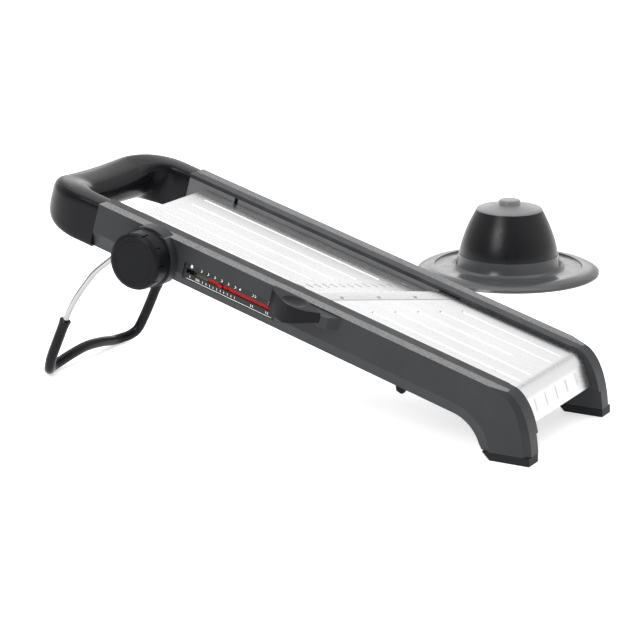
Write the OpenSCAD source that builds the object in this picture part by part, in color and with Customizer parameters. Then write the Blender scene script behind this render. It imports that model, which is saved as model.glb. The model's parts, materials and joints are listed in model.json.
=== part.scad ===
// Mandoline slicer with a folding leg, an adjustable platform, a pull-out blade
// cartridge, a julienne comb and a loose food holder standing beside it.
//
// Two frames are used.  Row frame: +X towards the front feet, +Y towards the far
// rail, +Z up, table at z = 0.  Body frame: s runs up the slope from the front to
// the handle, v across the bed, w square to the rail tops (w = 0 is the rail top).

/* [Stance] */
// Slope of the bed, in degrees
tilt = 16.2; // [15:0.1:17]
// Height of the rail tops above the table at the very front
front_h = 44.1; // [43:0.1:46]
// Thickness of the rubber pad under each foot
pad_h = 6; // [4:0.5:7]

/* [Body] */
// Length along the slope, from the front to the end of the handle
body_len = 421; // [418:1:426]
// Width between the top edges of the two rails
bed_w = 104.8; // [104:0.2:108]
// Width of one rail
rail_w = 19.2; // [19.2:0.1:21]
// Depth of one rail
rail_h = 31.6; // [31.6:0.1:33]
// Wall thickness of the moulded rails
wall = 2.4; // [2:0.1:2.4]
// Distance along the slope at which the soft grip begins
grip_s = 361; // [361:1:364]

/* [Slicing] */
// Angle of the blade across the bed, in degrees
skew = 29.2; // [27:0.1:31]
// Width of the blade
blade_w = 14.8; // [13:0.1:16]
// Slice thickness the knob is set to
slice_t = 4.4; // [4:0.1:4.8]
// Greatest slice thickness
slice_max = 12.5; // [12:0.1:12.6]
// Number of julienne teeth
comb_n = 14; // [8:1:14]
// Spacing of the julienne teeth
comb_pitch = 6.18; // [5:0.01:6.2]

/* [Knob] */
// Radius of the knob
knob_r = 21; // [18:0.1:21.5]
// Distance along the slope of the knob shaft
knob_s = 309; // [308:0.5:310]
// Number of teeth on the knob pinion, at module 1
pinion_n = 18; // [18]

/* [Leg] */
// Radius of the steel leg rod
rod_r = 2.2; // [2:0.1:2.4]
// Radius of the rubber sleeve on the leg
sleeve_r = 4; // [3.6:0.1:4.2]

/* [Holder] */
// Radius of the food holder flange
flange_r = 81.5; // [76:0.5:84]
// Height of the food holder over its button
holder_h = 65.6; // [64:0.1:67]
// Distance of the holder from the middle of the slicer, across
holder_y = 414.5; // [300:0.5:430]

/* [Hidden] */
$fn = 64;
eps = 0.05;

// Across the bed
half_bed = bed_w / 2;
out_v = half_bed + rail_w;          // outer face of a rail
wall_v = half_bed + 1;              // inner wall of a rail, under the lip
cover_t = 2;
cam_v = wall_v + cover_t + 0.6;     // inner face of a cam bar
cam_t = 2.8;
gear_v = cam_v + cam_t + 2.8;       // inner face of the pinion
gear_t = 5;

// Square to the bed
lip_t = 1.5;
plate_w = -3;                       // top of the landing plate
plate_t = 0.8;
floor_w = wall - rail_h;            // floor inside a rail
ceil_w = -3.4;                      // ceiling inside a rail
bed_now = plate_w - slice_t;        // top of the platform at rest
crease_w = -22.4;                   // where the lower band of a rail starts
band_in = 4.6;                      // how far the lower band leans in
tail_drop = 3.4;                    // extra depth of the rail at the grip

// Front foot: a quarter ellipse standing on the table, tangent to the rail top
foot_a = 24;
foot_top = front_h + tan(tilt) * foot_a;
foot_b = sqrt(pow(foot_top, 2) - pow(tan(tilt) * foot_a, 2));
foot_end = acos(tan(tilt) * foot_a / foot_top);
foot_len = 36;
arch_r = 30.5;
arch_s = 53.5;
arch_w = -rail_h - arch_r;
bevel = 4.5;                        // set-back of a foot's outer front edge

// Mechanism
pinion_r = pinion_n / 2;
knob_w = -19.6;
rack_w = knob_w + pinion_r;         // pitch line of the rack
run_in = 23.5;                      // travel towards the handle, to a closed bed
ramp = slice_t / run_in;            // slope of the cam slots
drop = slice_max - slice_t;         // platform travel down from rest
run_out = drop / ramp;              // travel towards the feet, to the thickest slice
pin_r = 1.5;
pin_w = -18.2;
stations = [203, 287];              // where the platform pins stand
tie_s = 255.8;
tie_hw = 2.6;

// Blade
blade_s = 156.6;                    // middle of the blade on the centre line
blade_top = plate_w + 0.05;
seat_y = -74.2;                     // face that the blade tab stops against
slot_hw = blade_w / 2 + 0.4;

// Leg
leg_s = 335;
leg_w = -25;
leg_v = 62;
leg_pin_v = out_v - 4;              // end of the leg's pin, blind in the outer wall
leg_boss_r = 3.9;
leg_slot = [[311, 345.2], [leg_v - 2.6, leg_v + 2.6]];

// Window of the thickness scale
win_s = [201, 281];
win_w = [-25.4, -12.4];
slot_w = [-20.4, -17];
mark_s = 249.4;

// Fixings
screw_r = 1.25;
screw_end = 64;
base_flange = 3.6;
cover_screws = [[80, -16], [122, -16]];
base_screws = [[36, -13], [60, -13]];
tail_screw = [354.3, -31.6];
guide_s = 317;

// Ridges and comb
rib_pitch = 17.3;
rib_start = 27.5;
comb_x = 21.5;
comb_v = -34.9;
guide_y = [-56, 36];

// Row origin: under the middle of the whole model's box
leg_x = -414;
knob_front = out_v + 23.4;
boss_front = out_v + 6.5;
holder_x = -241;
row_x = (leg_x - sleeve_r) / 2;
row_y = (holder_y + flange_r - knob_front) / 2;

// Row-frame point (x, z) given in the body frame
function to_body(x, z) = [-x * cos(tilt) + (z - front_h) * sin(tilt),
    x * sin(tilt) + (z - front_h) * cos(tilt)];
// Body-frame point (s, w) given in the row frame
function to_row(s, w) = [-s * cos(tilt) + w * sin(tilt), front_h + s * sin(tilt) + w * cos(tilt)];

module in_row() translate([-row_x, -row_y, 0]) children();
module in_body() in_row() translate([0, 0, front_h]) rotate([0, tilt, 0]) mirror([1, 0, 0]) children();
// Parts of the near side are drawn for the far side and turned over
module near() mirror([0, 1, 0]) children();
module both_sides() { children(); near() children(); }
// A side outline, in (s, w) or (x, z), pushed across from v0 to v1
module across(v0, v1) translate([0, v1, 0]) rotate([90, 0, 0]) linear_extrude(v1 - v0) children();
// A cross-section in (v, w) pushed along the body from s0 to s1
module along(s0, s1) translate([s0, 0, 0]) rotate([90, 0, 90]) linear_extrude(s1 - s0) children();
module block(s, v, w) translate([s[0], v[0], w[0]]) cube([s[1] - s[0], v[1] - v[0], w[1] - w[0]]);
// A round bar, pin or bore square to the side faces
module cross_pin(s, w, r, v0, v1) translate([s, v1, w]) rotate([90, 0, 0]) cylinder(h = v1 - v0, r = r);
// Frame of the blade: x square to the edge, y along it
module skewed() translate([blade_s, 0, 0]) rotate([0, 0, skew]) children();
module front_of_blade(gap) skewed() block([-500, -blade_w / 2 - gap], [-300, 300], [-80, 30]);
module behind_blade(gap) skewed() block([blade_w / 2 + gap, 500], [-300, 300], [-80, 30]);

/* ---- rails ---- */

function front_curve(set_back) = [for (i = [0:16]) let (t = foot_end * i / 16)
    to_body(-foot_a + (foot_a - set_back) * cos(t), (foot_b - set_back / 2) * sin(t))];
function top_down(list) = [for (i = [len(list) - 1:-1:0]) list[i]];
foot_back = to_body(-foot_len + 3, -2);

// Side outline of a rail; the foot runs on below the table and is trimmed later
function rail_outline() = concat([[grip_s, 0]], top_down(front_curve(0)),
    [to_body(0, -4), foot_back],
    [for (t = [145:-5.5:90]) [arch_s + arch_r * cos(t), arch_w + arch_r * sin(t)]],
    [[330, -rail_h], [344, -rail_h - tail_drop], [grip_s, -rail_h - tail_drop]]);
// Front of the foot, convex, with its front edge set back
function foot_outline(set_back) = concat([[33, 0]], top_down(front_curve(set_back)),
    [to_body(-set_back, -4), foot_back, [26.4, -46.4], [33, -39.2]]);

module rail_shell() {
    across(wall_v, out_v - bevel) polygon(rail_outline());
    across(out_v - bevel, out_v) intersection() {
        polygon(rail_outline());
        translate([32, -90]) square([400, 130]);
    }
    hull() {
        across(out_v - bevel - eps, out_v - bevel + eps) polygon(foot_outline(0));
        across(out_v - eps, out_v) polygon(foot_outline(bevel));
    }
    block([foot_a + 1, grip_s], [half_bed, wall_v + eps], [-lip_t, 0]);
}

// Removes the lower band, which leans in, along the rail and round the arch
module lower_band() {
    over = 1;
    band_h = rail_h + crease_w;
    lean = band_h / band_in;
    along(arch_s, grip_s + 1) polygon([[out_v + over, crease_w + over * lean],
        [out_v - band_in * 2, -rail_h - band_h], [out_v + over, -rail_h - band_h]]);
    translate([arch_s, out_v - band_in - over, arch_w]) rotate([-90, 0, 0])
        cylinder(h = band_in + 2 * over, r1 = arch_r - over * lean,
            r2 = arch_r + band_h + over * lean, $fn = 96);
}

// Hollow inside a rail, one wall in from the outer face all the way down, round the leg's boss
module rail_hollow() difference() {
    lean_in = band_in * (crease_w - floor_w) / (rail_h + crease_w);
    along(70, grip_s + 1) polygon([[half_bed, ceil_w], [out_v - wall, ceil_w],
        [out_v - wall, crease_w], [out_v - wall - lean_in, floor_w], [half_bed, floor_w]]);
    cross_pin(leg_s, leg_w, leg_boss_r, leg_slot[1][1] + 0.2, out_v);
}

module rail_half() {
    intersection() {
        difference() {
            rail_shell();
            lower_band();
            block([-60, 66], [half_bed - 1, half_bed + 3.6], [-80, -24]);
            rail_hollow();
            for (p = base_screws) cross_pin(p[0], p[1], screw_r + eps, wall_v - 1, screw_end);
            cross_pin(tail_screw[0], tail_screw[1], screw_r + eps, wall_v - 1, screw_end);
            cross_pin(leg_s, leg_w, rod_r + 0.05, leg_v, leg_pin_v + 0.1);
            block(leg_slot[0], leg_slot[1], [-rail_h - tail_drop - 1, floor_w + 1]);
        }
        trim_above_pads();
    }
    for (p = cover_screws) difference() {
        cross_pin(p[0], p[1], 3.6, wall_v + cover_t, out_v - wall + eps);
        cross_pin(p[0], p[1], screw_r + eps, wall_v, screw_end);
    }
}
// Everything above the top of the foot pads, in the body frame
module trim_above_pads() mirror([1, 0, 0]) rotate([0, -tilt, 0]) translate([0, 0, -front_h])
    translate([-600, -300, pad_h]) cube([700, 600, 500]);

module wedge_seat() intersection() {
    translate([0, 0, -9.5]) linear_extrude(8.7)
        polygon([[150.5, -out_v + 0.2], [156.5, -out_v - 8.6], [163, -out_v - 11.4], [187, -out_v + 0.2]]);
    skewed() block([-80, 80], [seat_y, 0], [-60, 30]);
}

module near_rail() color("#4a4b4d") in_body() difference() {
    union() {
        near() rail_half();
        near() difference() {
            cross_pin(knob_s, knob_w, 22.5, out_v - 5.6, boss_front);
            rail_hollow();
        }
        wedge_seat();
    }
    near() cross_pin(knob_s, knob_w, 5, half_bed, boss_front + 1);
    near() cross_pin(knob_s, knob_w, pinion_r + 1.4, gear_v - 0.5, gear_v + gear_t + 0.5);
    near() cross_pin(knob_s, knob_w, 7.6, gear_v, out_v - wall);
    near() block(win_s, [out_v - wall - 1, out_v + 1], win_w);
    skewed() block([-slot_hw, slot_hw], [-120, -40], [-7.4, -2.6]);
}

module far_rail() color("#4a4b4d") in_body() difference() {
    rail_half();
    skewed() block([-slot_hw, slot_hw], [50, 66.2], [-7.4, -2.6]);
}

module inner_cover() difference() {
    block([70, grip_s], [wall_v, wall_v + cover_t], [floor_w, ceil_w]);
    block([tie_s - run_out - tie_hw - 1, tie_s + run_in + tie_hw + 1], [40, 70], [-23.9, -20.5]);
    for (s = stations) block([s - pin_r - 0.2, s + pin_r + 0.2], [40, 70],
        [pin_w - drop - pin_r - 0.4, pin_w + slice_t + pin_r + 0.4]);
    block([guide_s - 1.5, guide_s + 1.5], [40, 70], [-22, 0]);
    for (p = cover_screws) cross_pin(p[0], p[1], screw_r + eps, 40, 70);
}

module near_inner_cover() color("#55575a") in_body() difference() {
    near() inner_cover();
    skewed() block([-slot_hw, slot_hw], [-120, 0], [-7.4, -2.6]);
}
module far_inner_cover() color("#55575a") in_body() difference() {
    inner_cover();
    skewed() block([-slot_hw, slot_hw], [0, 120], [-7.4, -2.6]);
}

module foot_pad() across(half_bed + 3.6, out_v - 0.4)
    polygon([[0, 0], [-foot_len + 6, 0], [-foot_len, pad_h], [-0.2, pad_h]]);
module near_foot_pad() color("#17181a") in_row() near() foot_pad();
module far_foot_pad() color("#17181a") in_row() foot_pad();

module under_pegs() color("#2a2b2d") in_body() both_sides()
    across(out_v - 12, out_v - 8) polygon([[92.5, -rail_h], [94, -rail_h - 5.2],
        [95.5, -rail_h - 6], [99.5, -rail_h - 5.2], [102, -rail_h]]);

module frame_screws() color("#b9bcc0") in_body() both_sides() {
    for (p = cover_screws) screw(p, wall_v);
    for (p = base_screws) screw(p, wall_v - base_flange);
    screw(tail_screw, wall_v - 2);
}
module screw(place, head_v) {
    cross_pin(place[0], place[1], screw_r, head_v, screw_end - 0.5);
    cross_pin(place[0], place[1], 2.5, head_v - 1.3, head_v);
}

/* ---- handle ---- */

// Rounded section of the grip: 0 at a rail, 1 at the middle of the bar
function blend(f) = f * f * (3 - 2 * f);
function signed_pow(x, p) = sign(x) * pow(abs(x), p);
function grip_ring(place, out, f) = let (b = blend(f), hw = 9.6 + 7.9 * b,
    mid = -17.5, hh = 17.5 - 5 * b * b, soft = 2 / (7 - 4.4 * b))
    [for (j = [0:grip_sides - 1]) let (a = 360 * j / grip_sides,
        u = hw * signed_pow(cos(a), soft))
        [place[0] + out[0] * u, place[1] + out[1] * u, mid + hh * signed_pow(sin(a), soft)]];
grip_sides = 40;
core_w = [-27, -13];                // height of the stiffener inside the grip
loop_r = 28;
loop_s = body_len - 17.5 - loop_r;
loop_v = out_v - 9.6 - loop_r;
leg_rings = 4;
bend_rings = 14;
bar_rings = 6;
half_rings = concat(
    [for (i = [0:leg_rings - 1]) let (f = i / leg_rings)
        grip_ring([grip_s + (loop_s - grip_s) * f, loop_v + loop_r], [0, 1], 0.15 * f)],
    [for (i = [0:bend_rings]) let (f = i / bend_rings, a = 90 * f)
        grip_ring([loop_s + loop_r * sin(a), loop_v + loop_r * cos(a)], [sin(a), cos(a)],
            0.15 + 0.65 * f)],
    [for (i = [1:bar_rings]) let (f = i / bar_rings)
        grip_ring([loop_s + loop_r, loop_v * (1 - f)], [1, 0], 0.8 + 0.2 * f)]);
function flipped(ring) = [for (p = ring) [p[0], -p[1], p[2]]];
all_rings = concat(half_rings,
    [for (i = [len(half_rings) - 2:-1:0]) flipped(half_rings[i])]);

// Closed skin over rings that all have the same number of points
module skin(rings) {
    n = len(rings[0]);
    last = (len(rings) - 1) * n;
    polyhedron(points = [for (ring = rings) each ring], faces = concat(
        [[for (j = [0:n - 1]) j]],
        [for (i = [0:len(rings) - 2]) for (j = [0:n - 1]) let (k = (j + 1) % n)
            each [[i * n + j, (i + 1) * n + j, (i + 1) * n + k],
                  [i * n + j, (i + 1) * n + k, i * n + k]]],
        [[for (j = [n - 1:-1:0]) last + j]]), convexity = 6);
}

// Open pipe between two sets of rings with the same number of points
module pipe(outer, inner) {
    n = len(outer[0]);
    last = len(outer) - 1;
    shift = len(outer) * n;
    polyhedron(points = concat([for (ring = outer) each ring], [for (ring = inner) each ring]),
        faces = [for (j = [0:n - 1]) let (k = (j + 1) % n) each concat(
            [for (i = [0:last - 1]) each [[i * n + j, (i + 1) * n + j, (i + 1) * n + k],
                [i * n + j, (i + 1) * n + k, i * n + k]]],
            [for (i = [0:last - 1]) let (m = shift + i * n)
                each [[m + k, m + n + k, m + n + j], [m + k, m + n + j, m + j]]],
            [[j, k, shift + k], [j, shift + k, shift + j],
             [last * n + k, last * n + j, shift + last * n + j],
             [last * n + k, shift + last * n + j, shift + last * n + k]])], convexity = 6);
}

module core_shape() {
    t = 3;
    mid_v = loop_v + loop_r;
    both_sides() {
        block([grip_s - 12, loop_s + eps], [mid_v - t, mid_v + t], core_w);
        translate([loop_s, loop_v, core_w[0]]) rotate_extrude(angle = 90)
            translate([loop_r - t, 0]) square([2 * t, core_w[1] - core_w[0]]);
    }
    block([loop_s + loop_r - t, loop_s + loop_r + t], [-loop_v - eps, loop_v + eps], core_w);
}
module handle_core() color("#3d3e40") in_body() core_shape();
module handle_grip() color("#1d1e20") in_body() difference() {
    skin(all_rings);
    core_shape();
    near() block([grip_s - 1, loop_s + 9.5], [gear_v - 0.7, gear_v + gear_t + 0.7],
        [rack_w - 1.4, ceil_w + 0.1]);
}

module rear_crossmember() color("#3d3e40") in_body() difference() {
    block([349.5, 359], [-wall_v, wall_v], [-rail_h - tail_drop + 0.4, -26.5]);
    block([351.3, 357.4], [-wall_v + 2, wall_v - 2], [-40, -28.5]);
    both_sides() cross_pin(tail_screw[0], tail_screw[1], screw_r + eps, 40, 70);
}

/* ---- landing ---- */

bend_r = 14;
bend_s = 23.5;
bend_a = 55;
apron_len = 16.5;
function landing_path(off, len) = let (c = [bend_s, plate_w - bend_r], r = bend_r - off)
    concat([[180, plate_w - off]],
        [for (t = [0:5:bend_a]) [c[0] - r * sin(t), c[1] + r * cos(t)]],
        [[c[0] - r * sin(bend_a) - len * cos(bend_a), c[1] + r * cos(bend_a) - len * sin(bend_a)]]);
module landing_sheet(off, t, len, half_w) across(-half_w, half_w)
    polygon(concat(landing_path(off, len), top_down(landing_path(off + t, len))));

module ridge(s0, s1, v, w) along(s0, s1)
    polygon([for (t = [0:30:180]) [v + 1.1 * cos(t), w - 0.02 + 0.42 * sin(t)]]);

module landing_plate() color("#e4e6e8") in_body() {
    intersection() {
        landing_sheet(0, plate_t, apron_len, wall_v - 0.2);
        front_of_blade(0.6);
    }
    for (i = [-2:2]) {
        v = i * rib_pitch;
        ridge(i == 0 ? 47 : bend_s + 1, blade_s - (rib_start + sin(skew) * v) / cos(skew), v, plate_w);
        apron_ridge(v);
    }
}
// Short ridge down the apron, ending in a round dimple
module apron_ridge(v) {
    c = landing_path(0, 0);
    foot = c[len(c) - 1];
    translate([foot[0], v, foot[1]]) rotate([0, 90 - bend_a, 0]) {
        translate([0, 0, -11]) rotate([0, 0, 180]) linear_extrude(9)
            polygon([for (t = [0:30:180]) [0.42 * sin(t) - 0.02, 1.1 * cos(t)]]);
    }
}

module landing_base() color("#47484a") in_body() difference() {
    intersection() {
        union() {
            landing_sheet(plate_t, 2, apron_len - 2, wall_v - 0.2);
            both_sides() {
                block([27, 68], [wall_v - base_flange, wall_v], [-18, -5]);
                block([68, 190], [wall_v - base_flange, wall_v - 0.2], [-11, -5]);
            }
            for (s = [34, 66, 92]) block([s, s + 2.4], [-wall_v + 1, wall_v - 1], [-10, -5]);
        }
        front_of_blade(0.6);
    }
    both_sides() for (p = base_screws) cross_pin(p[0], p[1], screw_r + eps, 40, 70);
}

/* ---- scale ---- */

module scale_plate() color("#2c2d2f") in_body() near() difference() {
    block(win_s, [out_v - 2.85, out_v - 1.65], win_w);
    block([win_s[0] + 2, win_s[1] - 2], [out_v - 4, out_v], slot_w);
}

module indicator() color("#c8101a") in_body() near() difference() {
    union() {
        block([win_s[0] - run_in - 1, 260.3], [out_v - 4.2, out_v - 3],
            [slot_w[0] - 0.5, slot_w[1] + 0.5]);
        block([mark_s - 1.6, mark_s + 1.6], [out_v - 3.1, out_v - 0.8],
            [slot_w[0] + 0.4, slot_w[1] - 0.4]);
        block([240, 256], [cam_v + cam_t, out_v - 4.1], [slot_w[0], slot_w[1] - 0.6]);
    }
    block([mark_s - 7, mark_s - 5], [out_v - 3.6, out_v], [slot_w[0] - 1, slot_w[1] + 1]);
}

/* ---- knob and drive ---- */

module knob_bushing() color("#c9b37a") in_body() near() difference() {
    union() {
        cross_pin(knob_s, knob_w, 5, out_v - wall, boss_front);
        cross_pin(knob_s, knob_w, 7.5, out_v - wall - 1.2, out_v - wall);
    }
    cross_pin(knob_s, knob_w, 3.05, half_bed, boss_front + 1);
}

module knob() color("#232427") in_body() near() difference() {
    translate([knob_s, boss_front + 0.5, knob_w]) rotate([-90, 0, 0]) rotate_extrude($fn = 96)
        polygon([[3, 3], [8, 3], [8, knob_depth - 5], [knob_r - 2.6, knob_depth - 5], [knob_r - 2.2, 0],
            [knob_r, 0], [knob_r, knob_depth - 3], [knob_r - 0.8, knob_depth - 1],
            [knob_r - 2.6, knob_depth], [knob_face_r, knob_depth], [knob_face_r, knob_depth - 1.2],
            [3, knob_depth - 1.2]]);
    for (a = [0:36:324]) translate([knob_s, knob_front - 8, knob_w]) rotate([0, a + 12, 0])
        translate([knob_r - 0.9, 0, -0.6]) cube([2, 9, 1.2]);
}
knob_depth = knob_front - boss_front - 0.5;
knob_face_r = 15.5;
module knob_face() color("#1d1e20") in_body() near()
    cross_pin(knob_s, knob_w, knob_face_r, knob_front - 1.2, knob_front);
module knob_shaft() color("#b9bcc0") in_body() near()
    cross_pin(knob_s, knob_w, 3, gear_v - 0.4, knob_front - 1.2);

module drive_pinion() color("#d8d4c8") in_body() near() difference() {
    translate([knob_s, 0, knob_w]) across(gear_v, gear_v + gear_t) polygon([
        for (i = [0:pinion_n - 1]) let (a = 90 + (i + 0.5) * 360 / pinion_n)
            each [for (p = [[-1.25, -5.2], [0, -3.55], [0.9, -1.9], [0.9, 1.9], [0, 3.55], [-1.25, 5.2]])
                let (t = a + p[1] * 22 / pinion_n) (pinion_r + p[0]) * [cos(t), sin(t)]]]);
    cross_pin(knob_s, knob_w, 3, half_bed, out_v);
}

rack_back = rack_w + 1.25;
module gear_rack() color("#d8d4c8") in_body() near() {
    block([knob_s - 28, knob_s + 48.5], [gear_v, gear_v + gear_t], [rack_back, ceil_w - 0.3]);
    block([knob_s - 28, knob_s + 25], [cam_v, gear_v], [rack_back + 0.4, ceil_w - 0.3]);
    block([knob_s - 24, knob_s + 21], [cam_v, cam_v + cam_t], [bar_w[1], rack_back + 0.4]);
    across(gear_v, gear_v + gear_t) for (i = [-8:14]) translate([knob_s + i * PI, rack_w])
        polygon([[-1.1, 1.3], [-0.68, 0], [-0.36, -0.9], [0.36, -0.9], [0.68, 0], [1.1, 1.3]]);
}

bar_w = [floor_w + 0.2, -11.1];
module cam_bar() difference() {
    block([stations[0] - run_in - 3, stations[1] + run_out + 3], [cam_v, cam_v + cam_t], bar_w);
    for (s = stations) cam_slot(s);
    block([tie_s - tie_hw, tie_s + tie_hw], [40, 80], [-23.4, -21]);
}
// Sloped slot that the platform pin rides in, from a closed bed to the thickest slice
module cam_slot(s) {
    rise = atan(ramp);
    r = pin_r + 0.05;
    ends = [-run_in, run_out];
    for (d = ends) cross_pin(s + d, pin_w - ramp * d, r, cam_v - 1, cam_v + cam_t + 1);
    translate([s, 0, pin_w]) rotate([0, rise, 0])
        block([ends[0] / cos(rise), ends[1] / cos(rise)], [cam_v - 1, cam_v + cam_t + 1], [-r, r]);
}
module near_cam_bar() color("#d8d4c8") in_body() near() cam_bar();
module far_cam_bar() color("#d8d4c8") in_body() cam_bar();
module cam_tie() color("#a9acb0") in_body()
    block([tie_s - tie_hw, tie_s + tie_hw], [-cam_v - cam_t, cam_v + cam_t], [-23.4, -21]);

/* ---- platform ---- */

// Distance along the body of a point given by its distance x behind the blade's middle
function behind(x, v) = blade_s + (x - sin(skew) * v) / cos(skew);
bed_under = bed_now - plate_t;

// Slots that the julienne teeth rise through
module comb_slots() for (i = [0:comb_n - 1]) let (v = comb_v + i * comb_pitch)
    block([behind(comb_x, v), behind(comb_x, v) + 6.6], [v - 0.45, v + 0.45], [-16, 0]);

module platform_plate() color("#e4e6e8") in_body() {
    difference() {
        intersection() {
            block([100, 345.4], [-half_bed + 0.2, half_bed - 0.2], [bed_under, bed_now]);
            behind_blade(0.5);
        }
        comb_slots();
    }
    for (i = [-2:2]) ridge(behind(34, i * rib_pitch), 333.5, i * rib_pitch, bed_now);
}

module platform_frame() color("#5a5c5f") in_body() difference() {
    union() {
        intersection() {
            both_sides() {
                block([100, 343], [47.8, half_bed - 0.6], [bed_under - 4.1, bed_under]);
                for (s = stations) block([s - 2.6, s + 2.6], [50, half_bed - 0.6],
                    [pin_w - 2.6, bed_under]);
                block([guide_s - 1.3, guide_s + 1.3], [50, wall_v + 1.4],
                    [bed_under - 4.1, bed_under]);
            }
            behind_blade(1);
        }
        intersection() {
            for (s = [228, 262, 300, 340]) block([s, s + 2.4], [-48, 48],
                [bed_under - 2.6, bed_under]);
            behind_blade(24.6);
        }
        for (x = [8.8, 31]) intersection() {
            skewed() block([x, x + 2.6], [-90, 90], [bed_under - 3, bed_under]);
            block([100, 343], [-half_bed + 0.6, half_bed - 0.6], [-30, 0]);
        }
        for (y = guide_y) skewed() translate([comb_x + 3, y, -21]) cylinder(h = 21 + bed_under, r = 1.5);
        for (y = guide_y) intersection() {
            skewed() block([10, 32], [y - 3, y + 3], [bed_under - 1.5, bed_under]);
            block([100, 343], [-half_bed + 0.6, half_bed - 0.6], [-30, 0]);
        }
    }
    both_sides() for (s = stations) cross_pin(s, pin_w, pin_r, 40, 70);
    comb_slots();
}
module platform_pins() color("#b9bcc0") in_body() both_sides()
    for (s = stations) cross_pin(s, pin_w, pin_r, 50, cam_v + cam_t + 0.6);

module comb_bar() color("#d8d4c8") in_body() difference() {
    intersection() {
        skewed() block([comb_x - 1, comb_x + 6], [guide_y[0] - 2.6, guide_y[1] + 8], [-19, -16.5]);
        block([100, 300], [-47.4, 47.4], [-30, 0]);
    }
    for (y = guide_y) skewed() translate([comb_x + 3, y, -30]) cylinder(h = 20, r = 1.55);
}
module comb_teeth() color("#c9ccd0") in_body()
    for (i = [0:comb_n - 1]) let (v = comb_v + i * comb_pitch, s = behind(comb_x, v))
        translate([0, 0.25, 0]) across(v - 0.5, v) polygon([[s + 0.4, -16.5], [s + 6.2, -16.5],
            [s + 6.2, bed_under - 1.2], [s + 0.4, bed_under - 0.2]]);

/* ---- blade cartridge ---- */

rivet_y = [-36.8, -4.6, 27.6];
blade_under = blade_top - 0.8;
module carrier_shape() skewed() across(-88, 64)
    polygon([[-7, -7], [1, -7], [2, -6], [2, blade_under], [-7, blade_under]]);
module rivet_holes() for (y = rivet_y) skewed() translate([-3.7, y, -9]) cylinder(h = 9, r = 1);
module blade() color("#dfe1e4") in_body() difference() {
    skewed() across(-66, 64) polygon([[-blade_w / 2, blade_under], [blade_w / 2 - 0.6, blade_under],
        [blade_w / 2, blade_under + 0.1], [blade_w / 2 - 2.6, blade_top], [-blade_w / 2, blade_top]]);
    rivet_holes();
}
module blade_carrier() color("#3d3e40") in_body() difference() {
    carrier_shape();
    rivet_holes();
}
module blade_rivets() color("#9a9da1") in_body() for (y = rivet_y) skewed() translate([-3.7, y, 0]) {
    translate([0, 0, -7]) cylinder(h = 7 + blade_top, r = 1);
    translate([0, 0, blade_top]) cylinder(h = 0.25, r = 1.5);
}
module blade_tab() color("#232427") in_body() difference() {
    intersection() {
        translate([0, 0, -14]) linear_extrude(14.8) polygon([[207, -out_v + 1], [205.5, -out_v - 5],
            [202, -out_v - 9.5], [197, -out_v - 13.5], [191, -out_v - 17.5], [184, -out_v - 20.5],
            [177.5, -out_v - 21], [171, -out_v - 18.5], [161, -out_v - 9.6], [160, -out_v + 1]]);
        skewed() block([-80, 80], [-130, seat_y - 0.15], [-60, 30]);
        block([100, 260], [-120, -out_v - 0.25], [-60, 30]);
        across(-120, 0) polygon([[150, 3], [150, -4], [168, -8], [185, -14], [215, -14], [215, 3]]);
    }
    carrier_shape();
    translate([184, -out_v - 11, 0.8 + 26]) sphere(r = 27.6, $fn = 96);
}

/* ---- leg ---- */

function cubic(a, b, c, d, t) = 0.5 * (2 * b + (c - a) * t + (2 * a - 5 * b + 4 * c - d) * t * t
    + (3 * b - a - 3 * c + d) * t * t * t);
function spline(p, n) = concat([for (i = [1:len(p) - 3]) for (k = [0:n - 1])
    cubic(p[i - 1], p[i], p[i + 1], p[i + 2], k / n)], [p[len(p) - 2]]);
function unit(a) = a / norm(a);
// Rings of a tube round a path that never runs along up
function tube_rings(path, r, sides, up) = [for (i = [0:len(path) - 1])
    let (t = unit(path[min(i + 1, len(path) - 1)] - path[max(i - 1, 0)]),
        a = unit(cross(t, up)), b = cross(a, t))
    [for (j = [0:sides - 1]) path[i] + r[i] * (a * cos(360 * j / sides) - b * sin(360 * j / sides))]];

leg_pivot = to_row(leg_s, leg_w);
// One arm from below the pivot to the middle of the bar on the table, in (x, v, z)
half_leg = [[-346, 62, 100], [-358.5, 62.3, 89.8], [-365.5, 62.6, 81.6], [-374, 63, 70.4],
    [-380.3, 63.2, 60.6], [-385.8, 63.4, 49.6], [-393.5, 63.4, 32.6], [-400, 62.6, 18.6],
    [-404, 60, 10], [-408, 55, 6], [-412, 49, sleeve_r + 0.4], [leg_x, 42, sleeve_r + 0.2],
    [leg_x + 0.5, 34, sleeve_r + 1.6], [leg_x + 1.5, 20, sleeve_r + 4.2]];
near_leg = [for (p = half_leg) [p[0], -p[1], p[2]]];
leg_points = concat([[leg_pivot[0] + 12, -leg_v, leg_pivot[1] + 9], [leg_pivot[0], -leg_v, leg_pivot[1]]],
    near_leg, [[leg_x + 2, 0, sleeve_r + 6]], top_down(half_leg),
    [[leg_pivot[0], leg_v, leg_pivot[1]], [leg_pivot[0] + 12, leg_v, leg_pivot[1] + 9]]);
leg_path = spline(leg_points, 3);
leg_up = unit([0.9, 0, -0.45]);
sleeve_from = 18;
sleeve_to = len(leg_path) - 1 - sleeve_from;
sleeve_path = [for (i = [sleeve_from:sleeve_to]) leg_path[i]];

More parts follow.
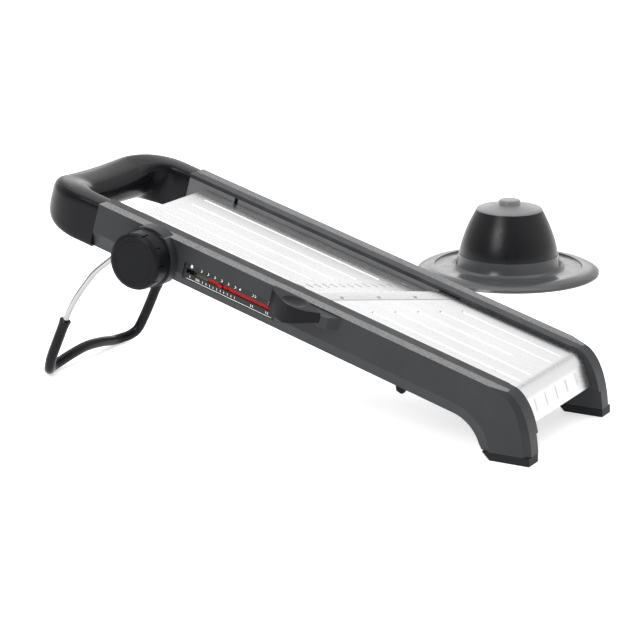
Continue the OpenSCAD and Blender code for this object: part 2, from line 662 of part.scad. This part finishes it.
module leg_rod() color("#b4b7bb") {
    in_row() skin(tube_rings(leg_path, [for (p = leg_path) rod_r], 16, leg_up));
    in_body() both_sides() {
        cross_pin(leg_s, leg_w, rod_r, leg_v, leg_pin_v);
        translate([leg_s, leg_v, leg_w]) sphere(r = rod_r + 0.3, $fn = 24);
    }
}
module leg_sleeve() color("#232427") in_row() pipe(
    tube_rings(sleeve_path, [for (i = [0:len(sleeve_path) - 1])
        sleeve_r + (i == 0 || i == len(sleeve_path) - 1 ? 0.5 : 0)], 16, leg_up),
    tube_rings(sleeve_path, [for (p = sleeve_path) rod_r + 0.03], 16, leg_up));

/* ---- food holder ---- */

module in_holder() in_row() translate([holder_x, holder_y, 0]) children();
module spun(points) in_holder() rotate_extrude($fn = 96) polygon(points);

dome_r = 43.9;
dome_z = 17;
dome_top = holder_h - 8.8;
stop_r = 33;                        // ring that the pin plate rests on
stop_z = 11.95;
cap_under = dome_top - 2.2;         // seat of the spring under the cap
function dome(off) = [for (i = [0:12]) let (t = i / 12)
    [dome_r - off - 14.4 * pow(t, 1.5), dome_z + (dome_top - dome_z) * t]];

module holder_flange() color("#606266") spun([[flange_r - 3.3, 0], [flange_r - 1, 0], [flange_r, 1],
    [flange_r - 0.7, 2.4], [flange_r - 4, 4.1], [flange_r - 9.5, 5.5], [flange_r - 14.8, 6.2],
    [flange_r - 15.5, 6], [flange_r - 16, 4.9], [flange_r - 18, 4.3], [54, 4.4], [49.5, 5.2], [47, 7],
    [45.8, 10], [dome_r + 0.6, dome_z], [dome_r - 2, dome_z], [dome_r - 2, stop_z], [stop_r, stop_z],
    [stop_r, stop_z - 1.6], [42.2, stop_z - 1.6], [42.4, 8], [43.8, 4.6], [47, 2.6],
    [62, 2.1], [flange_r - 6, 2.1]]);
module holder_grip() color("#1b1c1e") spun(concat(dome(0), top_down(dome(2.4))));
module holder_cap() color("#707276") spun([[button_r + 0.08, dome_top - 7], [button_r + 2.2, dome_top - 7],
    [button_r + 2.2, cap_under], [25.6, cap_under], [26.2, dome_top], [29.4, dome_top],
    [29.2, dome_top + 0.9], [28.2, dome_top + 1.4], [12, dome_top + 4.6], [button_r + 0.08, dome_top + 4.8]]);

button_r = 9.6;
module plunger_button() color("#6a6c70") spun([[2.55, 30], [button_r, 30], [button_r, holder_h - 1.2],
    [button_r - 0.5, holder_h - 0.3], [button_r - 1.4, holder_h], [0, holder_h], [0, holder_h - 4],
    [2.55, holder_h - 4]]);
module plunger_rod() color("#b9bcc0") in_holder()
    translate([0, 0, plate_z]) cylinder(h = holder_h - 4 - plate_z, r = 2.5);
plate_z = 12;
plate_h = 2.8;
food_pin_n = 8;
module pin_plate() color("#8a8c90") in_holder() difference() {
    union() {
        translate([0, 0, plate_z]) cylinder(h = plate_h, r = 34, $fn = 96);
        translate([0, 0, plate_z]) cylinder(h = 30 - plate_z, r = 8);
    }
    translate([0, 0, -1]) cylinder(h = 50, r = 2.5);
    for (i = [0:food_pin_n - 1]) rotate([0, 0, (i + 0.5) * 360 / food_pin_n]) translate([28, 0, -1])
        cylinder(h = 30, r = 1);
}
module food_pins() color("#c9ccd0") in_holder() for (i = [0:food_pin_n - 1])
    rotate([0, 0, (i + 0.5) * 360 / food_pin_n]) translate([28, 0, 0]) {
        translate([0, 0, 5]) cylinder(h = plate_z - 3, r = 1);
        translate([0, 0, 2]) cylinder(h = 3, r1 = 0.2, r2 = 1, $fn = 24);
    }
spring_turns = 6;
spring_r = 13.6;
wire_r = 0.7;
spring_z = [plate_z + plate_h + wire_r, cap_under - wire_r];
spring_steps = spring_turns * 14;
coil = [for (i = [0:spring_steps]) let (a = 360 * i / 14) [spring_r * cos(a), spring_r * sin(a),
    spring_z[0] + (spring_z[1] - spring_z[0]) * i / spring_steps]];
module plunger_spring() color("#a9acb0") in_holder()
    skin(tube_rings(coil, [for (p = coil) wire_r], 8, [0, 0, 1]));

near_rail();
far_rail();
handle_core();
handle_grip();
near_inner_cover();
far_inner_cover();
landing_base();
landing_plate();
rear_crossmember();
scale_plate();
near_foot_pad();
far_foot_pad();
under_pegs();
frame_screws();
knob_bushing();
knob();
knob_face();
knob_shaft();
drive_pinion();
gear_rack();
near_cam_bar();
far_cam_bar();
cam_tie();
indicator();
platform_plate();
platform_frame();
platform_pins();
comb_bar();
comb_teeth();
blade();
blade_carrier();
blade_tab();
blade_rivets();
leg_rod();
leg_sleeve();
holder_flange();
holder_grip();
holder_cap();
plunger_button();
plunger_rod();
pin_plate();
food_pins();
plunger_spring();
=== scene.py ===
"""Mandoline slicer with its food holder: looks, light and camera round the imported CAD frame."""
import json
import math

import bmesh
import bpy
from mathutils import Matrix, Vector


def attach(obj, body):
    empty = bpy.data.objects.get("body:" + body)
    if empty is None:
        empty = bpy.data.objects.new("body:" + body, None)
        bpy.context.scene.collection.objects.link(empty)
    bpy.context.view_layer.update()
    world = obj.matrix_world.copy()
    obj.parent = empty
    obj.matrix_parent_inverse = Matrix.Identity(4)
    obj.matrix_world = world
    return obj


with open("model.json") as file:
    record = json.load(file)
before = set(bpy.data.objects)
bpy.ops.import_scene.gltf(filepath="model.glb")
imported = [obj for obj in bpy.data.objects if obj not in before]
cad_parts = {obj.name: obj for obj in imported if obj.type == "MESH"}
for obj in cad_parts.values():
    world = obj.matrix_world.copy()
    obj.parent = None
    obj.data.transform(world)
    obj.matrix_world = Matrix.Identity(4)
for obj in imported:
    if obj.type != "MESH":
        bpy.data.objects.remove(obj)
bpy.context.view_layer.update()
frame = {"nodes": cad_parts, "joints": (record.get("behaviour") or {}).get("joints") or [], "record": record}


MM = 0.001
nodes = frame["nodes"]
joints = {joint["name"]: joint for joint in frame["joints"]}

# Body frame of the sloping slicer: s up the slope, v across, w square to the bed
UP = Vector(joints["platform_lift"]["axis"]).normalized()
SLOPE = Vector((-UP.z, 0, UP.x))
TILT = math.asin(UP.x)


def place(s, v, w):
    """Row-frame point of a body-frame point, in metres."""
    return SLOPE * s + Vector((0, v, 0)) + UP * w


def extent(node):
    """Lowest and highest (s, v, w) of a CAD node."""
    points = [(vert.co.dot(SLOPE), vert.co.y, vert.co.dot(UP)) for vert in nodes[node].data.vertices]
    return tuple(map(min, zip(*points))), tuple(map(max, zip(*points)))


RAIL_TOP = extent("far_rail")[1][2]
MID_V = sum(extent("platform_plate")[i][1] for i in (0, 1)) / 2
OUTER_V = extent("far_rail")[1][1] - MID_V
STRIP_WIDTH = 9.6 * MM      # grained strip along the outside of each rail's top, coloured lighter there as a painted highlight on the grain
RIDGE_HEIGHT = 0.42 * MM    # ridges of both steel plates


# ---- node materials ----

class NodeTree:
    """Short helpers for wiring shader nodes."""

    def __init__(self, tree):
        self.tree = tree

    def add(self, kind, **values):
        node = self.tree.nodes.new(kind)
        for key, value in values.items():
            setattr(node, key, value)
        return node

    def link(self, out, into):
        self.tree.links.new(out, into)

    def ramp(self, value, stops):
        """stops: (position, grey or rgb), low to high."""
        node = self.add("ShaderNodeValToRGB")
        element = node.color_ramp.elements
        while len(element) < len(stops):
            element.new(0.5)
        for item, (position, colour) in zip(element, stops):
            rgb = (colour,) * 3 if isinstance(colour, (int, float)) else colour
            item.position = position
            item.color = (*rgb, 1)
        self.link(value, node.inputs["Fac"])
        return node.outputs["Color"]

    def mix(self, factor, low, high):
        node = self.add("ShaderNodeMix", data_type="RGBA")
        self.link(factor, node.inputs[0])
        self.link(low, node.inputs[6])
        self.link(high, node.inputs[7])
        return node.outputs[2]

    def maths(self, operation, a, b):
        node = self.add("ShaderNodeMath", operation=operation)
        for socket, value in zip(node.inputs, (a, b)):
            if isinstance(value, (int, float)):
                socket.default_value = value
            else:
                self.link(value, socket)
        return node.outputs[0]


class Shader(NodeTree):
    """A Principled material with its texture nodes."""

    def __init__(self, name, **inputs):
        self.material = bpy.data.materials.new(name)
        self.material.use_nodes = True
        super().__init__(self.material.node_tree)
        self.bsdf = self.tree.nodes["Principled BSDF"]
        for socket, value in inputs.items():
            self.bsdf.inputs[socket.replace("_", " ")].default_value = value

    def coords(self, scale=(1, 1, 1), tilted=False):
        """Object coordinates; tilted ones run -s, v, w of the body frame."""
        source = self.add("ShaderNodeTexCoord")
        turn = self.add("ShaderNodeMapping")
        turn.inputs["Rotation"].default_value = (0, -TILT if tilted else 0, 0)
        self.link(source.outputs["Object"], turn.inputs["Vector"])
        stretch = self.add("ShaderNodeMapping")
        stretch.inputs["Scale"].default_value = scale
        self.link(turn.outputs["Vector"], stretch.inputs["Vector"])
        return stretch.outputs["Vector"]

    def noise(self, size_mm, detail=3, **where):
        node = self.add("ShaderNodeTexNoise")
        node.inputs["Scale"].default_value = 1 / (size_mm * MM)
        node.inputs["Detail"].default_value = detail
        self.link(self.coords(**where), node.inputs["Vector"])
        return node.outputs["Fac"]

    def cells(self, size_mm):
        node = self.add("ShaderNodeTexVoronoi")
        node.inputs["Scale"].default_value = 1 / (size_mm * MM)
        self.link(self.coords(), node.inputs["Vector"])
        return node.outputs["Distance"]

    def bump(self, height, depth_mm, strength):
        node = self.add("ShaderNodeBump")
        node.inputs["Distance"].default_value = depth_mm * MM
        node.inputs["Strength"].default_value = strength
        self.link(height, node.inputs["Height"])
        self.link(node.outputs["Normal"], self.bsdf.inputs["Normal"])

    def colour(self, value):
        self.link(value, self.bsdf.inputs["Base Color"])

    def roughness(self, value):
        self.link(value, self.bsdf.inputs["Roughness"])


def shaded(rgb, factor):
    return tuple(min(1, channel * factor) for channel in rgb)


def moulded(name, rgb, rough, grain_mm=0.7, depth_mm=0.03, spread=0.1, **inputs):
    """Moulded plastic or rubber: fine grain, slight mottling and uneven gloss."""
    skin = Shader(name, **inputs)
    cloud = skin.noise(38, detail=4)
    skin.colour(skin.ramp(cloud, [(0.3, shaded(rgb, 1 - spread)), (0.7, shaded(rgb, 1 + spread))]))
    skin.roughness(skin.ramp(skin.noise(9), [(0.3, rough - 0.04), (0.7, rough + 0.05)]))
    skin.bump(skin.noise(grain_mm, detail=2), depth_mm, 0.35)
    return skin.material


def rail_plastic(name, rgb):
    """Rail plastic, with the raised grain of the outer strip along the rail's top, whose colour is painted
    much lighter as a highlight of light catching the grain.
    """
    skin_depth = 0.12 * MM
    skin = Shader(name, Specular_IOR_Level=0.3)
    axes = skin.add("ShaderNodeSeparateXYZ")
    skin.link(skin.coords(tilted=True), axes.inputs[0])
    off_middle = skin.maths("ABSOLUTE", skin.maths("SUBTRACT", axes.outputs["Y"], MID_V), 0)
    outside = skin.maths("GREATER_THAN", off_middle, OUTER_V - STRIP_WIDTH)
    off_top = skin.maths("ABSOLUTE", skin.maths("SUBTRACT", axes.outputs["Z"], RAIL_TOP), 0)
    strip = skin.maths("MULTIPLY", outside, skin.maths("LESS_THAN", off_top, skin_depth))
    body = skin.ramp(skin.noise(45), [(0.3, shaded(rgb, 0.9)), (0.7, shaded(rgb, 1.1))])
    # Painted highlight: the strip's speckle is far lighter than the rail, for light catching the real grain
    # at a grazing angle
    speckle_and_painted_sheen = skin.ramp(skin.noise(0.9, detail=4), [(0.36, 0.09), (0.64, 0.26)])
    skin.colour(skin.mix(strip, body, speckle_and_painted_sheen))
    skin.roughness(skin.ramp(skin.noise(10), [(0.3, 0.44), (0.7, 0.54)]))
    grain = skin.maths("MULTIPLY", skin.noise(0.8, detail=3), skin.maths("ADD", strip, 0.25))
    skin.bump(grain, 0.12, 0.5)
    return skin.material


def brushed(name, grey, rough, along_slope=True, shade_below=None):
    """Brushed sheet steel. Below a height in the body frame, the slot walls get painted shade: dark and
    dull, for the shade deep in the slots.
    """
    stretch = (0.02, 1, 1) if along_slope else (1, 0.02, 1)
    skin = Shader(name, Metallic=1.0, Anisotropic=0.35)
    streaks = skin.noise(0.45, detail=5, scale=stretch, tilted=True)
    wide = skin.noise(5, detail=2, scale=stretch, tilted=True)
    both = skin.maths("ADD", skin.maths("MULTIPLY", streaks, 0.65), skin.maths("MULTIPLY", wide, 0.35))
    sheet = skin.ramp(both, [(0.3, grey * 0.97), (0.7, grey * 1.02)])
    if shade_below is not None:
        axes = skin.add("ShaderNodeSeparateXYZ")
        skin.link(skin.coords(tilted=True), axes.inputs[0])
        painted_slot_shade = skin.maths("LESS_THAN", axes.outputs["Z"], shade_below)
        # Painted shade: walls below that height are coloured near black, for the shade inside the slots
        sheet = skin.mix(painted_slot_shade, sheet, skin.ramp(streaks, [(0.3, 0.02), (0.7, 0.035)]))
    skin.colour(sheet)
    skin.roughness(skin.ramp(both, [(0.3, rough - 0.03), (0.7, rough + 0.04)]))
    skin.bump(streaks, 0.002, 0.12)
    return skin.material


def polished(name, rgb, rough):
    """Drawn or turned metal with a fine uneven polish."""
    skin = Shader(name, Metallic=1.0)
    skin.colour(skin.ramp(skin.noise(14), [(0.3, shaded(rgb, 0.95)), (0.7, shaded(rgb, 1.04))]))
    skin.roughness(skin.ramp(skin.noise(2.5), [(0.3, rough - 0.03), (0.7, rough + 0.04)]))
    skin.bump(skin.noise(0.6), 0.004, 0.2)
    return skin.material


def pebbled(name, rgb, rough):
    """Soft-touch black with the fine leathery pebble of the food holder's dome."""
    skin = Shader(name, Specular_IOR_Level=0.28)
    pebble = skin.maths("ADD", skin.cells(0.85), skin.maths("MULTIPLY", skin.noise(1.6), 0.5))
    skin.colour(skin.ramp(pebble, [(0.2, shaded(rgb, 1.25)), (0.9, shaded(rgb, 0.8))]))
    skin.roughness(skin.ramp(skin.noise(6), [(0.3, rough - 0.03), (0.7, rough + 0.05)]))
    skin.bump(pebble, 0.09, 0.45)
    return skin.material


def studio_floor(name):
    """Pale matt floor that glows a little, so that shadows on it stay light."""
    skin = Shader(name, Specular_IOR_Level=0.1, Emission_Color=(1, 1, 1, 1), Emission_Strength=0.6)
    skin.colour(skin.ramp(skin.noise(900, detail=1), [(0.3, 0.9), (0.7, 0.93)]))
    skin.roughness(skin.ramp(skin.noise(60), [(0.3, 0.7), (0.7, 0.8)]))
    return skin.material


CHARCOAL = (0.026, 0.027, 0.030)
BLACK = (0.0068, 0.0070, 0.0085)

MATERIALS = {
    "charcoal_plastic": rail_plastic("charcoal_plastic", CHARCOAL),
    "cover_plastic": moulded("cover_plastic", (0.150, 0.151, 0.155), 0.46, Specular_IOR_Level=0.3),
    "soft_grip": moulded("soft_grip", BLACK, 0.25, grain_mm=1.2, depth_mm=0.004, Specular_IOR_Level=0.14),
    "foot_rubber": moulded("foot_rubber", (0.008, 0.008, 0.009), 0.6, grain_mm=1.1, depth_mm=0.06,
                           Specular_IOR_Level=0.25),
    "plate_steel": brushed("plate_steel", 0.82, 0.27),
    "blade_steel": brushed("blade_steel", 0.70, 0.25, along_slope=False),
    "steel": polished("steel", (0.44, 0.44, 0.45), 0.18),
    "nylon": moulded("nylon", (0.60, 0.58, 0.52), 0.5, depth_mm=0.02),
    "bronze": polished("bronze", (0.52, 0.40, 0.20), 0.34),
    "knob_plastic": moulded("knob_plastic", (0.0060, 0.0063, 0.0080), 0.42, grain_mm=0.45, depth_mm=0.02,
                            Specular_IOR_Level=0.12),
    "red_plastic": moulded("red_plastic", (0.29, 0.002, 0.004), 0.34, spread=0.15, Specular_IOR_Level=0.25),
    "panel_plastic": moulded("panel_plastic", (0.022, 0.0225, 0.024), 0.42, grain_mm=0.4, depth_mm=0.015,
                             Specular_IOR_Level=0.25),
    "frame_plastic": moulded("frame_plastic", (0.06, 0.061, 0.064), 0.5),
    "holder_grey": moulded("holder_grey", (0.070, 0.071, 0.074), 0.2, grain_mm=4.0, depth_mm=0.002,
                           Specular_IOR_Level=0.4),
    "cap_grey": moulded("cap_grey", (0.19, 0.191, 0.192), 0.34, grain_mm=0.9, depth_mm=0.015),
    "spring_steel": polished("spring_steel", (0.45, 0.46, 0.47), 0.22),
}
PEBBLE = pebbled("grip_pebble", BLACK, 0.3)
# Painted shade on the platform's slot walls, which turn dark from just under the plate's surface
SLOT_TOP = extent("platform_plate")[1][2] - RIDGE_HEIGHT - 0.08 * MM
SLOTTED = brushed("slotted_sheet", 0.82, 0.27, shade_below=SLOT_TOP)
MARK_WHITE = moulded("mark_white", (0.86, 0.86, 0.85), 0.5, depth_mm=0.01, spread=0.03)
STUDIO = studio_floor("studio_floor")


# ---- finish of the CAD nodes ----

# Radius in mm of the softened edges; nodes left out keep their own edges
EDGE_RADII = {
    "near_rail": 0.6, "far_rail": 0.6, "near_inner_cover": 0.3, "far_inner_cover": 0.3,
    "near_foot_pad": 0.5, "far_foot_pad": 0.5, "rear_crossmember": 0.4, "landing_plate": 0.08,
    "platform_plate": 0.1, "scale_plate": 0.15, "indicator": 0.2, "knob": 0.5, "knob_face": 0.3,
    "under_pegs": 0.5, "blade_tab": 1.1, "blade": 0.05, "blade_carrier": 0.2, "platform_frame": 0.2,
    "cam_tie": 0.2, "landing_base": 0.3,
}

# Nodes with a finish of their own within their slot
OWN_FINISH = {"holder_grip": PEBBLE, "platform_plate": SLOTTED}


def add_modifier(piece, kind, **values):
    modifier = piece.modifiers.new(kind.lower(), kind)
    for key, value in values.items():
        setattr(modifier, key, value)


def soften(piece, radius_mm):
    """Joined faces, rounded edges and smooth shading, with the mesh itself untouched."""
    add_modifier(piece, "WELD", merge_threshold=0.002 * MM)
    if radius_mm:
        add_modifier(piece, "DECIMATE", decimate_type="DISSOLVE", angle_limit=math.radians(0.8))
        add_modifier(piece, "BEVEL", width=radius_mm * MM, segments=3, limit_method="ANGLE",
                     angle_limit=math.radians(20), use_clamp_overlap=True)
        add_modifier(piece, "WEIGHTED_NORMAL", keep_sharp=True)
    else:
        add_modifier(piece, "EDGE_SPLIT", split_angle=math.radians(32))


def finish_nodes():
    slots = {part["node"]: part["material_slot"] for part in frame["record"]["subparts"]}
    for name, piece in nodes.items():
        material = OWN_FINISH.get(name, MATERIALS[slots[name]])
        piece.data.materials.clear()
        piece.data.materials.append(material)
        custom = piece.data.attributes.get("custom_normal")
        if custom:
            piece.data.attributes.remove(custom)
        piece.data.shade_smooth()
        soften(piece, EDGE_RADII.get(name, 0))


# ---- pieces made here ----

def new_piece(name, mesh, material, body):
    """Object made of a finished bmesh, riding on a body of the frame."""
    data = bpy.data.meshes.new(name)
    mesh.normal_update()
    mesh.to_mesh(data)
    mesh.free()
    piece = bpy.data.objects.new(name, data)
    bpy.context.scene.collection.objects.link(piece)
    data.materials.append(material)
    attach(piece, body)
    return piece


def add_prism(mesh, outline, v_face, v_back):
    """Closed prism on an (s, w) outline, between two distances across."""
    front = [mesh.verts.new(place(s, v_face, w)) for s, w in outline]
    back = [mesh.verts.new(place(s, v_back, w)) for s, w in outline]
    mesh.faces.new(front)
    mesh.faces.new(back[::-1])
    for i in range(len(outline)):
        j = (i + 1) % len(outline)
        mesh.faces.new((front[j], front[i], back[i], back[j]))


def oblong(s, w, half_s, half_w, lean=0.0):
    """Upright bar, or with a lean a slanted one, round its middle."""
    return [(s - half_s - lean, w - half_w), (s + half_s - lean, w - half_w),
            (s + half_s + lean, w + half_w), (s - half_s + lean, w + half_w)]


def round_mark(s, w, radius, point=0.0, sides=14):
    """A dot, or with a point a drop that narrows towards the top."""
    outline = []
    for i in range(sides):
        angle = 2 * math.pi * i / sides
        rise = radius * math.sin(angle) + point * max(0, math.sin(angle)) ** 3
        outline.append((s + radius * math.cos(angle), w + rise))
    return outline


def chevron(s, w, size, width):
    """Arrowhead that points down the slope, with arms of one width."""
    return [(s + size / 2, w + size), (s + size / 2 + width, w + size), (s - size / 2 + width, w),
            (s + size / 2 + width, w - size), (s + size / 2, w - size), (s - size / 2, w)]


def scale_marks():
    """Plain marks over and under the slot of the thickness scale."""
    low, high = extent("scale_plate")
    face = low[1] - 0.05 * MM
    depth = 0.1 * MM
    foot_s = low[0]
    length = high[0] - low[0]
    icon_w = high[2] - 2.3 * MM
    number_w = low[2] + 3.0 * MM
    line_w = low[2] + 1.0 * MM
    mesh = bmesh.new()

    def mark(outline):
        add_prism(mesh, outline, face, face + depth)

    # Symbols over the slot, by their distance from the plate's foot end
    mark(round_mark(foot_s + 74.2 * MM, icon_w, 1.05 * MM, point=0.9 * MM))
    for i in range(6):
        mark(chevron(foot_s + (36 + 5.86 * i) * MM, icon_w, 1.05 * MM, 0.62 * MM))
    mark(round_mark(foot_s + 32.3 * MM, icon_w, 0.72 * MM))
    for distance in (5.4, 18.9):
        mark(chevron(foot_s + distance * MM, icon_w, 1.1 * MM, 0.5 * MM))
        mark(chevron(foot_s + (distance + 1.9) * MM, icon_w, 1.1 * MM, 0.45 * MM))
    # Strokes in place of figures, and the line under them
    for i in range(11):
        mark(oblong(foot_s + (35 + 3.1 * i) * MM, number_w, 0.22 * MM, 0.8 * MM, lean=0.25 * MM))
    for distance in (6.5, 8, 19.5, 21, 67, 68.4, 74):
        mark(oblong(foot_s + distance * MM, number_w, 0.24 * MM, 0.85 * MM, lean=0.25 * MM))
    mark(oblong(foot_s + length / 2, line_w, length / 2 - 3 * MM, 0.16 * MM))
    new_piece("scale_marks", mesh, MARK_WHITE, "slicer_frame")


def add_dimple(mesh, centre, out, radius, depth):
    """Low round dimple with a raised lip, as a closed lens."""
    side = out.orthogonal().normalized()
    other = out.cross(side)
    sides = 20
    angles = [2 * math.pi * j / sides for j in range(sides)]
    spokes = [side * math.cos(angle) + other * math.sin(angle) for angle in angles]
    # Parts of the radius and of the depth, from the buried edge to the middle
    profile = [(1.0, -0.3), (1.0, 0.25), (0.8, 0.75), (0.5, 0.3)]
    rings = [[mesh.verts.new(centre + out * depth * height + spoke * radius * part) for spoke in spokes]
             for part, height in profile]
    for lower, upper in zip(rings, rings[1:]):
        for j in range(sides):
            k = (j + 1) % sides
            mesh.faces.new((lower[j], lower[k], upper[k], upper[j]))
    mesh.faces.new(rings[0][::-1])
    mesh.faces.new(rings[-1])


def plate_dimples():
    """Pressed dimples where the landing plate's ridges begin, beside the blade."""
    top = extent("landing_plate")[1][2] - RIDGE_HEIGHT
    across = Vector(joints["blade_pull"]["axis"])
    skew = math.atan2(abs(across.dot(SLOPE)), abs(across.y))
    pitch = 17.3 * MM
    start = 27.5 * MM
    # Middle of the blade where it crosses the middle of the bed
    square = Vector((math.cos(skew), math.sin(skew)))
    along = [vert.co.dot(SLOPE) * square.x + (vert.co.y - MID_V) * square.y
             for vert in nodes["blade"].data.vertices]
    blade_s = (min(along) + max(along)) / 2 / square.x
    mesh = bmesh.new()
    for i in range(-2, 3):
        v = i * pitch
        s = blade_s - (start + math.sin(skew) * v) / math.cos(skew)
        add_dimple(mesh, place(s, MID_V + v, top), UP, 1.15 * MM, 0.5 * MM)
    piece = new_piece("plate_dimples", mesh, MATERIALS["steel"], "slicer_frame")
    piece.data.shade_smooth()


# ---- studio ----

# Camera in metres of the row frame, and its lens in mm on a 36 mm sensor
CAMERA_PLACE = (0.82469, -1.65895, 0.52069)
CAMERA_LOOK = (-0.4713, 0.8409, -0.2662)
LENS = 132.43


def look_along(thing, direction):
    thing.rotation_euler = direction.to_track_quat("-Z", "Y").to_euler()


def add_camera():
    data = bpy.data.cameras.new("camera")
    data.lens = LENS
    data.sensor_width = 36
    data.clip_end = 50
    camera = bpy.data.objects.new("camera", data)
    camera.location = CAMERA_PLACE
    look_along(camera, Vector(CAMERA_LOOK))
    bpy.context.scene.collection.objects.link(camera)
    bpy.context.scene.camera = camera


def add_softbox(name, location, aim, width, height, power):
    data = bpy.data.lights.new(name, "AREA")
    data.shape = "RECTANGLE"
    data.size = width
    data.size_y = height
    data.energy = power
    lamp = bpy.data.objects.new(name, data)
    lamp.location = location
    look_along(lamp, Vector(aim) - Vector(location))
    bpy.context.scene.collection.objects.link(lamp)


def add_floor():
    half_width = 14
    mesh = bmesh.new()
    bmesh.ops.create_grid(mesh, x_segments=2, y_segments=2, size=half_width)
    data = bpy.data.meshes.new("floor")
    mesh.to_mesh(data)
    mesh.free()
    floor = bpy.data.objects.new("floor", data)
    data.materials.append(STUDIO)
    bpy.context.scene.collection.objects.link(floor)


def light_room(brightness):
    """Bright above and behind, dim on the camera's side, with a grey gap between two back panels."""
    world = bpy.data.worlds.new("studio")
    world.use_nodes = True
    bpy.context.scene.world = world
    room = NodeTree(world.node_tree)
    axes = room.add("ShaderNodeSeparateXYZ")
    room.link(room.add("ShaderNodeTexCoord").outputs["Generated"], axes.inputs[0])
    height = room.maths("ADD", room.maths("MULTIPLY", axes.outputs["Z"], 0.6), 0.5)
    depth = room.maths("MULTIPLY", axes.outputs["Y"], 0.55)
    sky = room.ramp(room.maths("ADD", height, depth), [(0.15, 0.1), (0.85, 1.0)])
    sideways = room.maths("DIVIDE", axes.outputs["X"], room.maths("MAXIMUM", axes.outputs["Y"], 0.2))
    spread = room.maths("ADD", room.maths("MULTIPLY", sideways, 0.5), 0.5)
    gap = room.ramp(spread, [(0.44, 1.0), (0.5, 0.55), (0.55, 0.55), (0.62, 1.0)])
    strength = room.maths("MULTIPLY", room.maths("MULTIPLY", sky, gap), brightness)
    background = world.node_tree.nodes["Background"]
    background.inputs["Color"].default_value = (1, 1, 1, 1)
    room.link(strength, background.inputs["Strength"])


def studio():
    add_camera()
    add_floor()
    light_room(1.0)
    add_softbox("overhead", (-0.2, 0.5, 1.9), aim=(0, 0, 0), width=2.4, height=1.6, power=12)
    add_softbox("back", (-1.5, 2.9, 0.9), aim=(0, 0, 0.05), width=1.6, height=0.8, power=5)
    add_softbox("front", (-0.3, -1.7, 1.15), aim=(-0.03, 0.21, 0.03), width=0.6, height=0.8, power=15)
    bpy.context.scene.view_settings.view_transform = "Standard"


finish_nodes()
scale_marks()
plate_dimples()
studio()
